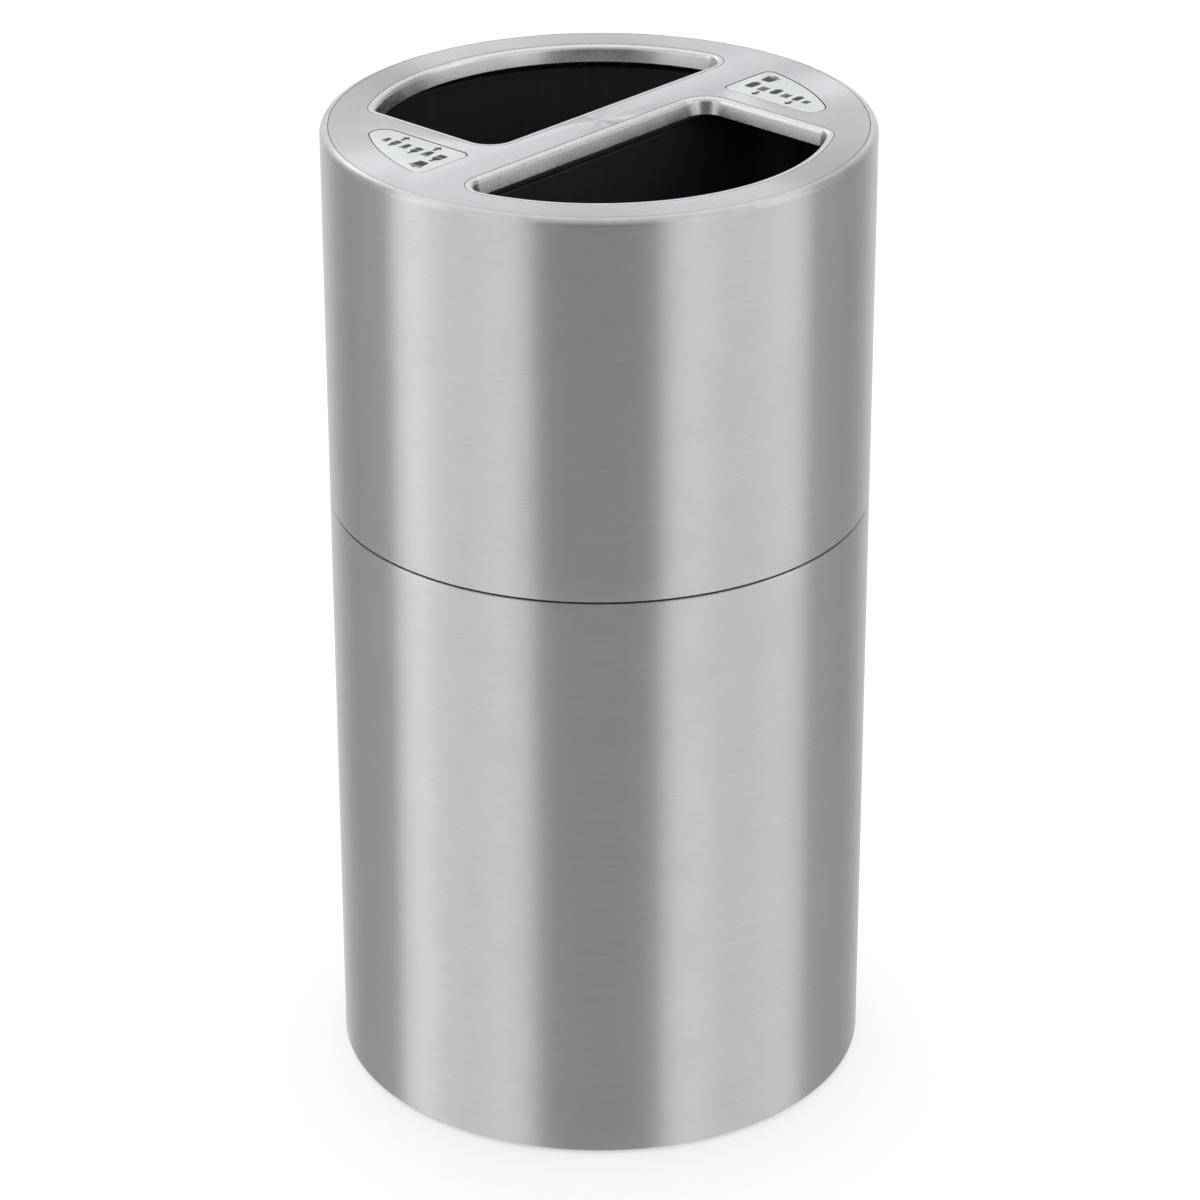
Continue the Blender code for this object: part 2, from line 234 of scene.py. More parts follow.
def rounded_region(edge_y, side_x, arc_r, corner, bar_end, side_end, inset, density):
    """Region y > edge_y, x > side_x, r < arc_r with rounded corners, shrunk by inset."""
    square = (side_x + corner, edge_y + corner)
    bar = (math.sqrt((arc_r - bar_end) ** 2 - (edge_y + bar_end) ** 2), edge_y + bar_end)
    side = (side_x + side_end, math.sqrt((arc_r - side_end) ** 2 - (side_x + side_end) ** 2))
    bar_angle = math.degrees(math.atan2(bar[1], bar[0]))
    side_angle = math.degrees(math.atan2(side[1], side[0]))
    points = arc(bar, bar_end - inset, -90, bar_angle, 6 * density)
    points += arc((0, 0), arc_r - inset, bar_angle, side_angle, 20 * density)[1:]
    points += arc(side, side_end - inset, side_angle, 180, 5 * density)[1:]
    points += arc(square, corner - inset, 180, 270, 5 * density)
    return points


def deposit_outline(inset, density=4):
    return rounded_region(BAR_HALF_WIDTH, OPENING_SIDE_X, OPENING_ARC_R, SQUARE_CORNER_R, BAR_END_R,
                          SIDE_END_R, inset, density)


def label_outline(inset, density=3):
    points = rounded_region(LABEL_EDGE_Y, LABEL_SIDE_X, LABEL_ARC_R, LABEL_CORNER_R, LABEL_CORNER_R,
                            LABEL_TIP_R, inset, density)
    return [(-x, y) for x, y in reversed(points)]


def liner_outline(inset):
    """Half-round region with rounded ends, shrunk by inset. Straight runs carry points too."""
    height = LINER_RIM_Y + LINER_CORNER_R
    reach = math.sqrt((LINER_RIM_R - LINER_CORNER_R) ** 2 - height ** 2)
    angle = math.degrees(math.atan2(height, reach))
    radius = LINER_CORNER_R - inset
    points = arc((reach, height), radius, -90, angle, 18)
    points += arc((0, 0), LINER_RIM_R - inset, angle, 180 - angle, 96)[1:]
    points += arc((-reach, height), radius, 180 - angle, 270, 18)[1:]
    flat_y, flat_steps = points[-1][1], 24
    points += [(-reach + 2 * reach * k / flat_steps, flat_y) for k in range(1, flat_steps)]
    return points


def half_turn(points):
    return [(-x, -y) for x, y in points]


def turn_if(points, turn):
    return half_turn(points) if turn else points


def fill_between(bm, rings, slot=0):
    """Fills the flat region bounded by an outer ring and hole rings."""
    edges = []
    for ring in rings:
        for k in range(len(ring)):
            pair = (ring[k], ring[(k + 1) % len(ring)])
            edges.append(bm.edges.get(pair) or bm.edges.new(pair))
    made = bmesh.ops.triangle_fill(bm, use_beauty=True, edges=edges)
    for item in made["geom"]:
        if isinstance(item, bmesh.types.BMFace):
            item.material_index = slot


# ---------------------------------------------------------------- materials

class Nodes:
    """Short names for building a shader's nodes."""

    def __init__(self, tree):
        self.tree = tree

    def add(self, kind, inputs=None, **settings):
        node = self.tree.nodes.new(kind)
        for name, value in settings.items():
            setattr(node, name, value)
        for name, value in (inputs or {}).items():
            if isinstance(value, bpy.types.NodeSocket):
                self.tree.links.new(value, node.inputs[name])
            else:
                node.inputs[name].default_value = value
        return node

    def math(self, operation, first, second=0.0):
        return self.add("ShaderNodeMath", {0: first, 1: second}, operation=operation).outputs[0]

    def weighted(self, *terms):
        """The sum of (value, weight) terms."""
        parts = [self.math("MULTIPLY", value, weight) for value, weight in terms]
        total = parts[0]
        for part in parts[1:]:
            total = self.math("ADD", total, part)
        return total

    def noise(self, vector, scale, detail=2.0, w=None, roughness=0.5):
        inputs = {"Vector": vector, "Scale": scale, "Detail": detail, "Roughness": roughness}
        if w is not None:
            inputs["W"] = w
        return self.add("ShaderNodeTexNoise", inputs,
                        noise_dimensions="3D" if w is None else "4D").outputs["Fac"]

    def ramp(self, value, low, high, to_low, to_high, smooth=False):
        kind = "SMOOTHSTEP" if smooth else "LINEAR"
        return self.add("ShaderNodeMapRange", {"Value": value, "From Min": low, "From Max": high,
                                               "To Min": to_low, "To Max": to_high},
                        interpolation_type=kind).outputs["Result"]

    def mix_color(self, factor, first, second):
        node = self.add("ShaderNodeMix", {"Factor": factor}, data_type="RGBA")
        for socket, value in ((node.inputs[6], first), (node.inputs[7], second)):
            if isinstance(value, bpy.types.NodeSocket):
                self.tree.links.new(value, socket)
            else:
                socket.default_value = (*value, 1.0)
        return node.outputs[2]

    def blend(self, value, low, high, first, second):
        """The first colour where the value is low, and the second where it is high."""
        return self.mix_color(self.ramp(value, low, high, 0.0, 1.0), first, second)

    def vector(self, x, y, z):
        return self.add("ShaderNodeCombineXYZ", {"X": x, "Y": y, "Z": z}).outputs[0]


def start_material(name, roughness, metallic, **constants):
    """A Principled material with its constant values set on the shader's own sockets."""
    material = bpy.data.materials.new(name)
    material.use_nodes = True
    shader = material.node_tree.nodes["Principled BSDF"]
    shader.inputs["Roughness"].default_value = roughness
    shader.inputs["Metallic"].default_value = metallic
    for socket, value in constants.items():
        shader.inputs[socket.replace("_", " ")].default_value = value
    return material, shader, Nodes(material.node_tree)


def connect(nodes, shader, color=None, roughness=None, height=None, strength=0.1, distance=0.0002):
    if color is not None:
        nodes.tree.links.new(color, shader.inputs["Base Color"])
    if roughness is not None:
        nodes.tree.links.new(roughness, shader.inputs["Roughness"])
    if height is not None:
        bump = nodes.add("ShaderNodeBump", {"Height": height, "Strength": strength,
                                            "Distance": distance})
        nodes.tree.links.new(bump.outputs[0], shader.inputs["Normal"])


def object_place(nodes):
    return nodes.add("ShaderNodeTexCoord").outputs["Object"]


def split_place(nodes):
    """Object coordinates, whole and as x, y and z."""
    place = object_place(nodes)
    x, y, z = nodes.add("ShaderNodeSeparateXYZ", {0: place}).outputs
    return place, x, y, z


def scaled(nodes, x, y, z, scale_x, scale_y, scale_z):
    return nodes.vector(nodes.math("MULTIPLY", x, scale_x), nodes.math("MULTIPLY", y, scale_y),
                        nodes.math("MULTIPLY", z, scale_z))


def tangent(nodes, shader, **settings):
    node = nodes.add("ShaderNodeTangent", **settings)
    nodes.tree.links.new(node.outputs[0], shader.inputs["Tangent"])


def brushed_metal(name, dark, light, roughness):
    """Aluminium brushed round the drum: fine lines follow circles about Z on wall and top."""
    material, shader, nodes = start_material(name, roughness, 1.0, Anisotropic=1.0,
                                             Anisotropic_Rotation=0.25)
    place, x, y, z = split_place(nodes)
    squares = nodes.math("ADD", nodes.math("MULTIPLY", x, x), nodes.math("MULTIPLY", y, y))
    radius = nodes.math("SQRT", squares)
    safe = nodes.math("MAXIMUM", radius, 0.001)
    cos_a, sin_a = nodes.math("DIVIDE", x, safe), nodes.math("DIVIDE", y, safe)

    def lines(per_metre, spread, detail):
        around = scaled(nodes, cos_a, sin_a, z, spread, spread, per_metre)
        return nodes.noise(around, 1.0, detail, w=nodes.math("MULTIPLY", radius, per_metre))

    fine, coarse = lines(2400.0, 10.0, 3.0), lines(520.0, 6.0, 2.0)
    hairline = nodes.ramp(lines(700.0, 26.0, 1.0), 0.71, 0.77, 0.0, 1.0)
    mottle, smudge = nodes.noise(place, 7.0, 3.0), nodes.noise(place, 24.0, 4.0, roughness=0.62)
    tone = nodes.weighted((fine, 0.50), (coarse, 0.28), (mottle, 0.22), (hairline, -0.10))
    color = nodes.blend(tone, 0.30, 0.70, dark, light)
    rough = nodes.math("ADD", nodes.ramp(fine, 0.25, 0.75, roughness - 0.02, roughness + 0.02),
                       nodes.ramp(smudge, 0.45, 0.80, -0.008, 0.030))
    tangent(nodes, shader, direction_type="RADIAL", axis="Z")
    height = nodes.weighted((fine, 0.8), (coarse, 0.2))
    connect(nodes, shader, color, rough, height, strength=0.08, distance=0.00006)
    return material


def lip_metal():
    """The rolled lips, brushed along their length: U runs along a lip and V down its wall."""
    material, shader, nodes = start_material("brushed_lip", 0.29, 1.0, Anisotropic=0.45,
                                             Anisotropic_Rotation=0.25)
    place, x, y, z = split_place(nodes)
    strip = nodes.add("ShaderNodeUVMap", uv_map="UVMap").outputs[0]
    down = nodes.add("ShaderNodeSeparateXYZ", {0: strip}).outputs[1]
    grain = nodes.noise(scaled(nodes, x, y, down, 30.0, 30.0, 2200.0), 1.0, 3.0)
    speck = nodes.noise(place, 900.0, 2.0, roughness=0.6)
    worn = nodes.noise(place, 55.0, 4.0, roughness=0.6)
    tone = nodes.weighted((grain, 0.35), (speck, 0.40), (worn, 0.25))
    color = nodes.blend(tone, 0.34, 0.66, (0.72, 0.725, 0.735), (0.93, 0.93, 0.935))
    rough = nodes.math("ADD", nodes.ramp(speck, 0.30, 0.70, 0.26, 0.32),
                       nodes.ramp(worn, 0.45, 0.75, -0.02, 0.05))
    tangent(nodes, shader, direction_type="UV_MAP", uv_map="UVMap")
    height = nodes.weighted((grain, 0.4), (speck, 0.6))
    connect(nodes, shader, color, rough, height, strength=0.06, distance=0.0001)
    return material


def shaded_shoulder_metal():
    """The rounded shoulder of the drum, spun smoother than the wall. Its colour is a little darker
    than the wall's: painted shade on the shoulder.
    """
    material, shader, nodes = start_material("spun_shoulder_shaded", 0.38, 1.0, Anisotropic=0.95,
                                             Anisotropic_Rotation=0.25)
    place = object_place(nodes)
    worn, fine = nodes.noise(place, 60.0, 4.0, roughness=0.6), nodes.noise(place, 700.0, 2.0)
    # Painted shade: a little darker than the wall's colours
    color = nodes.blend(worn, 0.35, 0.70, (0.76, 0.765, 0.775), (0.88, 0.88, 0.885))
    rough = nodes.ramp(worn, 0.3, 0.7, 0.36, 0.40)
    tangent(nodes, shader, direction_type="RADIAL", axis="Z")
    connect(nodes, shader, color, rough, fine, strength=0.03, distance=0.0001)
    return material


def painted_gap_shade(name, dark, light):
    """Dark colour for grooves and gaps: painted shade where they fall into shadow, varied by noise.
    """
    material, shader, nodes = start_material(name, 0.7, 0.0)
    dust = nodes.noise(object_place(nodes), 260.0, 3.0)
    color = nodes.blend(dust, 0.4, 0.7, dark, light)
    connect(nodes, shader, color, nodes.ramp(dust, 0.3, 0.7, 0.60, 0.85))
    return material


def mill_metal():
    """Plain mill finish for the pieces nobody sees in use."""
    material, shader, nodes = start_material("mill_aluminium", 0.42, 1.0)
    place, x, y, z = split_place(nodes)
    grain = nodes.noise(scaled(nodes, x, y, z, 4.0, 160.0, 160.0), 1.0, 3.0)
    spots = nodes.noise(place, 40.0, 4.0)
    color = nodes.blend(spots, 0.35, 0.7, (0.50, 0.51, 0.52), (0.63, 0.64, 0.65))
    rough = nodes.ramp(grain, 0.3, 0.7, 0.36, 0.50)
    connect(nodes, shader, color, rough, grain, strength=0.08)
    return material


def label_metal():
    """Matt anodised label stock, lighter than the brushed top and without its lines."""
    material, shader, nodes = start_material("label_aluminium", 0.42, 0.55)
    place = object_place(nodes)
    grain = nodes.noise(place, 1400.0, 2.0)
    cloud = nodes.noise(place, 45.0, 3.0)
    color = nodes.blend(cloud, 0.3, 0.7, (0.80, 0.83, 0.84), (0.88, 0.905, 0.915))
    rough = nodes.ramp(grain, 0.3, 0.7, 0.38, 0.48)
    connect(nodes, shader, color, rough, grain, strength=0.06, distance=0.00005)
    return material


def label_ink():
    material, shader, nodes = start_material("label_ink", 0.5, 0.0)
    place = object_place(nodes)
    wear = nodes.noise(place, 320.0, 4.0, roughness=0.65)
    color = nodes.blend(wear, 0.52, 0.72, (0.020, 0.022, 0.028), (0.10, 0.105, 0.11))
    connect(nodes, shader, color, nodes.ramp(wear, 0.3, 0.7, 0.42, 0.60))
    return material


def moulded_plastic():
    """Black rigid plastic with a fine moulded grain and scuffs where bags and hands rub."""
    material, shader, nodes = start_material("black_plastic", 0.48, 0.0, Specular_IOR_Level=0.4)
    place, x, y, z = split_place(nodes)
    grain = nodes.noise(place, 900.0, 3.0)
    scuff = nodes.noise(scaled(nodes, x, y, z, 70.0, 70.0, 7.0), 1.0, 4.0, roughness=0.6)
    color = nodes.blend(scuff, 0.50, 0.85, (0.026, 0.026, 0.030), (0.040, 0.040, 0.044))
    rough = nodes.ramp(scuff, 0.35, 0.75, 0.52, 0.42)
    connect(nodes, shader, color, rough, grain, strength=0.18, distance=0.0002)
    return material


def soft_rubber():
    material, shader, nodes = start_material("black_rubber", 0.72, 0.0)
    place = object_place(nodes)
    grain = nodes.noise(place, 1100.0, 3.0)
    dust = nodes.noise(place, 80.0, 4.0)
    color = nodes.blend(dust, 0.45, 0.75, (0.010, 0.010, 0.010), (0.024, 0.023, 0.022))
    connect(nodes, shader, color, nodes.ramp(grain, 0.3, 0.7, 0.65, 0.82), grain, strength=0.15)
    return material


def zinc_steel():
    material, shader, nodes = start_material("zinc_steel", 0.32, 1.0)
    place = object_place(nodes)
    cloud = nodes.noise(place, 240.0, 3.0)
    color = nodes.blend(cloud, 0.3, 0.7, (0.48, 0.48, 0.50), (0.66, 0.65, 0.62))
    connect(nodes, shader, color, nodes.ramp(cloud, 0.3, 0.7, 0.26, 0.42))
    return material


# ---------------------------------------------------------------- pieces

def place_piece(item, body, slot, *nodes):
    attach(item, body)
    if nodes:
        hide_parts(*nodes)
    return item


def make_upper_shell(metal, gap_shade, spun):
    centre = (OUTER_R - SHOULDER_R, HEIGHT - SHOULDER_R)
    inner_r = SHOULDER_R - SHEET
    meet = math.degrees(math.asin((LEDGE_BOTTOM - centre[1]) / inner_r))
    hem_bottom = UPPER_BOTTOM + EDGE * 2
    profile = [(SHOULDER_INNER_R, HEIGHT - EDGE), (SHOULDER_INNER_R + EDGE / 3, HEIGHT - EDGE / 3),
               (SHOULDER_INNER_R + EDGE, HEIGHT)]
    profile += arc(centre, SHOULDER_R, 90, 0, SHOULDER_STEPS)
    profile += [(OUTER_R, hem_bottom + EDGE_BAND)]
    profile += arc((OUTER_R - EDGE * 2, hem_bottom), EDGE * 2, 0, -90, 5)
    profile += arc((HEM_INNER_R + EDGE, UPPER_BOTTOM + EDGE), EDGE, -90, -180, 3)
    profile += [(HEM_INNER_R, UPPER_BOTTOM + HEM_HEIGHT),
                (INNER_R, UPPER_BOTTOM + HEM_HEIGHT + HEM - SHEET)]
    profile += arc(centre, inner_r, 0, meet, 8)
    profile += [(SHOULDER_INNER_R - LEDGE_WIDTH, LEDGE_BOTTOM),
                (SHOULDER_INNER_R - LEDGE_WIDTH, LEDGE_TOP),
                (SHOULDER_INNER_R, LEDGE_TOP), (SHOULDER_INNER_R, HEIGHT - 3 * EDGE)]
    # The last bands, the ledge and the inner side in the gap under the top plate's edge, take
    # painted shade.
    shaded_gap_bands, spun_bands = 3, SHOULDER_STEPS + 2
    skin = turned("upper_shell_skin", profile, [metal, gap_shade, spun], last=shaded_gap_bands,
                  first_bands=spun_bands)
    place_piece(skin, "lid", "brushed_aluminium", "upper_shell")


def make_lower_shell(metal):
    hem_end = LOWER_TOP - HEM_HEIGHT
    bottom = LOWER_BOTTOM
    profile = arc((HEM_INNER_R + EDGE, LOWER_TOP - EDGE), EDGE, 180, 90, 3)
    profile += arc((OUTER_R - LIP_R, LOWER_TOP - LIP_R), LIP_R, 90, 0, 10)
    profile += [(OUTER_R, LOWER_TOP - EDGE_BAND), (OUTER_R, bottom + EDGE_BAND)]
    profile += arc((OUTER_R - LIP_R, bottom + LIP_R), LIP_R, 0, -90, 8)
    profile += [(OUTER_R - TURN_UNDER, bottom), (OUTER_R - TURN_UNDER, bottom + SHEET),
                (INNER_R, bottom + SHEET), (INNER_R, hem_end - (HEM - SHEET)),
                (HEM_INNER_R, hem_end)]
    skin = turned("lower_shell_skin", profile, [metal])
    place_piece(skin, "base", "brushed_aluminium", "lower_shell")


def make_collar(metal):
    joggle = LOWER_TOP
    step = 0.0012
    upper_r = COLLAR_R - step
    profile = arc((upper_r - EDGE, COLLAR_TOP - EDGE), EDGE, 90, 0, 3)
    profile += [(upper_r, joggle), (COLLAR_R, joggle - HEM), (COLLAR_R, COLLAR_BOTTOM),
                (COLLAR_R - SHEET, COLLAR_BOTTOM), (COLLAR_R - SHEET, joggle - HEM),
                (upper_r - SHEET, joggle)]
    profile += arc((upper_r - SHEET + EDGE, COLLAR_TOP - EDGE), EDGE, 180, 90, 3)
    ring = turned("locating_collar_ring", profile, [metal])
    place_piece(ring, "base", "mill_aluminium", "locating_collar")


def make_gasket(rubber):
    inner = HEM_INNER_R + TOUCH
    crown = (GASKET_TOP - GASKET_BOTTOM) / 2
    profile = arc((GASKET_R - crown, (GASKET_TOP + GASKET_BOTTOM) / 2), crown, 90, -90, 8)
    profile += [(inner, GASKET_BOTTOM), (inner, GASKET_TOP)]
    ring = turned("seam_gasket_ring", profile, [rubber])
    place_piece(ring, "base", "black_rubber", "seam_gasket")


def pan_section(side):
    """Floor of the base pan with two pressed rings, from the centre outwards."""
    bead_depth, bead_half = 0.0011, 0.006
    section = []
    for bead_r in (0.080, 0.150):
        for k in range(-4, 5):
            share = k / 4
            drop = bead_depth * (1 + math.cos(math.pi * share)) / 2
            section.append((bead_r + bead_half * share, side - drop))
    return section


def make_base_pan(metal):
    top = PAN_BOTTOM + SHEET
    bend, middle_r = 0.003, 0.02
    profile = [(middle_r, top)] + pan_section(top)
    profile += arc((PAN_R - SHEET - bend, top + bend), bend, -90, 0, 5)
    profile += [(PAN_R - SHEET, PAN_RIM_Z), (PAN_R, PAN_RIM_Z)]
    profile += arc((PAN_R - SHEET - bend, PAN_BOTTOM + SHEET + bend), bend + SHEET, 0, -90, 6)
    profile += list(reversed(pan_section(PAN_BOTTOM))) + [(middle_r, PAN_BOTTOM)]
    pan = lofted("base_pan_pressing", [(circle(radius), z) for radius, z in profile], [metal])
    place_piece(pan, "base", "mill_aluminium", "base_pan")


def make_feet(rubber, steel):
    top_round, bottom_round = 0.0010, 0.0008
    recess_r, recess_top, hole_r = 0.0050, 0.0025, 0.0024
    for k in range(1, 5):
        low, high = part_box(f"foot_{k}")
        x, y = (low.x + high.x) / 2, (low.y + high.y) / 2
        radius = (high.x - low.x) / 2
        profile = arc((radius - top_round, FOOT_TOP - top_round), top_round, 90, 0, 4)
        profile += arc((radius - bottom_round, bottom_round), bottom_round, 0, -90, 4)
        profile += [(recess_r, 0.0), (recess_r, recess_top), (hole_r, recess_top),
                    (hole_r, FOOT_TOP)]
        foot = turned(f"glide_{k}", profile, [rubber], steps=FOOT_STEPS, centre=(x, y))
        place_piece(foot, "base", "black_rubber", f"foot_{k}")
        make_foot_screw(k, x, y, steel)


def make_foot_screw(k, x, y, steel):
    """Flat head with a hexagon socket, seen from below."""
    low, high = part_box(f"foot_screw_{k}")
    head_r = (high.x - low.x) / 2
    head_top, socket_top, stem_r = 0.0022, 0.0016, 0.0020
    sections = [(hexagon(0.0014, BOLT_STEPS), socket_top),
                (hexagon(0.0015, BOLT_STEPS), low.z + 0.0001),
                (hexagon(0.0016, BOLT_STEPS), low.z)]
    sections += [(circle(radius, BOLT_STEPS), z) for radius, z in (
        (head_r - 0.0008, low.z), (head_r - 0.0002, low.z + 0.0004), (head_r, low.z + 0.0009),
        (head_r, head_top), (stem_r, head_top), (stem_r, high.z))]
    sections = [(moved(points, x, y), z) for points, z in sections]
    screw = lofted(f"glide_screw_{k}", sections, [steel])
    place_piece(screw, "base", "zinc_steel", f"foot_screw_{k}")


def make_studs(steel):
    """Weld studs with their threads, and hexagon nuts under the shell's ledge."""
    nut_height, apothem, stud_r = 0.0032, 0.0034, 0.0020
    chamfer, thread_depth, pitch = 0.0004, 0.0003, 0.0007
    nut_top = LEDGE_BOTTOM - TOUCH
    nut_bottom = nut_top - nut_height
    stud, trough, tip = (circle(stud_r - less, BOLT_STEPS) for less in (0, thread_depth, chamfer))
    bevel, nut = circle(apothem, BOLT_STEPS), hexagon(apothem, BOLT_STEPS)
    for k in range(1, 7):
        low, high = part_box(f"hold_down_stud_{k}")
        x, y = (low.x + high.x) / 2, (low.y + high.y) / 2
        sections = [(stud, high.z), (stud, nut_top), (bevel, nut_top), (nut, nut_top - chamfer),
                    (nut, nut_bottom + chamfer), (bevel, nut_bottom), (stud, nut_bottom)]
        z = nut_bottom - pitch / 2
        while z - pitch / 2 > low.z + chamfer:
            sections += [(trough, z), (stud, z - pitch / 2)]
            z -= pitch
        sections.append((tip, low.z))
        sections = [(moved(points, x, y), z) for points, z in sections]
        item = lofted(f"stud_and_nut_{k}", sections, [steel])
        place_piece(item, "lid", "zinc_steel", f"hold_down_stud_{k}")


def lip_sections():
    """(inset, depth) round an opening: groove and rolled edge, wall with cut edge, back."""
    lean = math.radians(LIP_DRAFT)

    def roll(radius, steps):
        angles = [math.radians((90 - LIP_DRAFT) * k / steps) for k in range(steps + 1)]
        return [(radius * math.sin(a), ROLL_R - radius * math.cos(a)) for a in angles]

    def wall(start, depth):
        return start[0] + (depth - start[1]) * math.tan(lean), depth

    cut = TOP_SHEET / 4
    front = [(-out, depth) for out, depth in LIP_GROOVE] + roll(ROLL_R, LIP_STEPS)
    back = list(reversed([(-EDGE * 2, TOP_SHEET)] + roll(ROLL_R - TOP_SHEET, LIP_BACK_STEPS)))
    outer, inner = wall(front[-1], LIP_DEPTH), wall(back[0], LIP_DEPTH)
    edge = [wall(front[-1], LIP_DEPTH - cut), (outer[0] - cut, LIP_DEPTH),
            (inner[0] + cut, LIP_DEPTH), wall(back[0], LIP_DEPTH - cut)]
    return front + edge + back


def make_top_plate(*materials):
    """Disc with two lipped openings and two label pockets.

    The materials are those of the face, the lips, the painted shade on the plate's edge and in the
    lip grooves, and the painted shade in the label pockets.
    """
    face, lip, joint, pocket_shade = range(4)
    rounded_bands, groove_bands = 2, len(LIP_GROOVE) - 1
    bm = bmesh.new()
    outer = [add_ring(bm, circle(TOP_PLATE_R - inset), HEIGHT - depth)
             for inset, depth in PLATE_EDGE]
    # The plate's edge, down in the gap by the shoulder, takes painted shade.
    for k, (first, second) in enumerate(zip(outer, outer[1:])):
        join_rings(bm, first, second, face if k < rounded_bands else joint)
    top_holes, bottom_holes = [], []
    for turn in (False, True):
        rings = [add_ring(bm, turn_if(deposit_outline(inset), turn), HEIGHT - depth)
                 for inset, depth in lip_sections()]
        before = len(bm.faces)
        for k, (first, second) in enumerate(zip(rings, rings[1:])):
            # The groove round each opening takes painted shade.
            join_rings(bm, first, second, face if k == 0 else joint if k < groove_bands else lip)
        bm.faces.ensure_lookup_table()
        map_strip(bm, rings, bm.faces[before:])
        top_holes.append(rings[0])
        bottom_holes.append(rings[-1])
        pocket = [add_ring(bm, turn_if(label_outline(-out), turn), HEIGHT - depth)
                  for out, depth in POCKET_EDGE]
        # The pocket's walls and floor, in the gap round the label plate, take painted shade.
        for k, (first, second) in enumerate(zip(pocket, pocket[1:])):
            join_rings(bm, first, second, face if k == 0 else pocket_shade)
        top_holes.append(pocket[0])
        bm.faces.new(pocket[-1]).material_index = pocket_shade
    fill_between(bm, [outer[0]] + top_holes)
    fill_between(bm, [outer[-1]] + bottom_holes)
    plate = finish_mesh(bm, "top_plate_pressing", materials)
    place_piece(plate, "lid", "brushed_aluminium", "top_plate")


def make_label(name, node, turn, metal):
    top = HEIGHT - LABEL_SINK
    sections = [(turn_if(label_outline(inset), turn), top - depth) for inset, depth in LABEL_EDGE]
    sections.append((sections[-1][0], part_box(node)[0].z))
    place_piece(lofted(name, sections, [metal]), "lid", "label_aluminium", node)
    return top


# Pictograms: (u, v) outlines in millimetres. u runs along the row and v is up.

def bottle_shapes():
    foot = [(-2.7, 0), (2.7, 0), (3.3, 0.7), (3.3, 4.6), (-3.3, 4.6), (-3.3, 0.7)]
    body = [(-3.3, 5.3), (3.3, 5.3), (3.3, 7.8), (1.3, 10.4), (1.3, 11.3), (-1.3, 11.3),
            (-1.3, 10.4), (-3.3, 7.8)]
    return [foot, body, [(-1.6, 11.9), (1.6, 11.9), (1.6, 13.3), (-1.6, 13.3)]]


def cup_shapes():
    return [[(-2.2, 0), (2.2, 0), (3.1, 7.2), (-3.1, 7.2)],
            [(-3.7, 7.9), (3.7, 7.9), (3.2, 9.2), (-3.2, 9.2)]]


def can_shapes():
    body = [(-2.6, 0.9), (2.6, 0.9), (3.3, 1.9), (3.3, 9.6), (2.5, 10.7), (-2.5, 10.7),
            (-3.3, 9.6), (-3.3, 1.9)]
    return [[(-2.4, 0), (2.4, 0), (2.4, 0.4), (-2.4, 0.4)], body,
            [(-2.3, 11.3), (2.3, 11.3), (2.3, 12.1), (-2.3, 12.1)]]


def tin_shapes():
    bands = ((0, 1.0, 3.7), (1.6, 3.8, 3.4), (4.4, 6.6, 3.4), (7.2, 8.2, 3.7))
    return [[(-half, low), (half, low), (half, high), (-half, high)] for low, high, half in bands]


def bin_shapes():
    body = [(-4.0, 0), (4.0, 0), (5.0, 8.4), (-5.0, 8.4)]
    return [body, [(-5.8, 9.3), (5.8, 9.3), (5.8, 10.6), (-5.8, 10.6)],
            [(-1.8, 11.2), (1.8, 11.2), (1.8, 12.4), (-1.8, 12.4)]]


def arrow_shapes():
    return [[(0, 0), (3.6, 4.2), (1.3, 4.2), (1.3, 9.0), (-1.3, 9.0), (-1.3, 4.2), (-3.6, 4.2)]]


def make_pictograms(name, turn, big, small, top, ink):
    """Ink on a label plate. v points away from the opening, u along the plate from its wide end."""
    # Shapes, their place along u and v in millimetres, size
    layout = [(big, 15, 17, 1.40), (small, 30, 17, 1.30), (big, 44, 17, 1.25),
              (small, 58, 17, 1.20), (big, 71, 17, 1.10), (small, 83, 17, 0.95),
              (arrow_shapes, 32, 3.5, 1.2), (arrow_shapes, 72, 3.5, 1.2), (bin_shapes, 17, 40, 1.3)]
    bm = bmesh.new()
    for shapes, du, dv, size in layout:
        for outline in shapes():
            points = turn_if([(-(LABEL_SIDE_X + (dv + v * size) / 1000),
                               LABEL_EDGE_Y + (du + u * size) / 1000) for u, v in outline], turn)
            low, high = (add_ring(bm, points, top + z) for z in (-INK_HALF, INK_HALF))
            join_rings(bm, low, high)
            bm.faces.new(low)
            bm.faces.new(high)
    bmesh.ops.triangulate(bm, faces=[f for f in bm.faces if len(f.verts) > 4])
    place_piece(finish_mesh(bm, name, [ink]), "lid", "label_aluminium")


def quarter(radius, angles):
    """(1 - cosine, 1 - sine) of each angle in degrees, times the radius."""
    turns = [math.radians(angle) for angle in angles]
    return [(radius * (1 - math.cos(a)), radius * (1 - math.sin(a))) for a in turns]


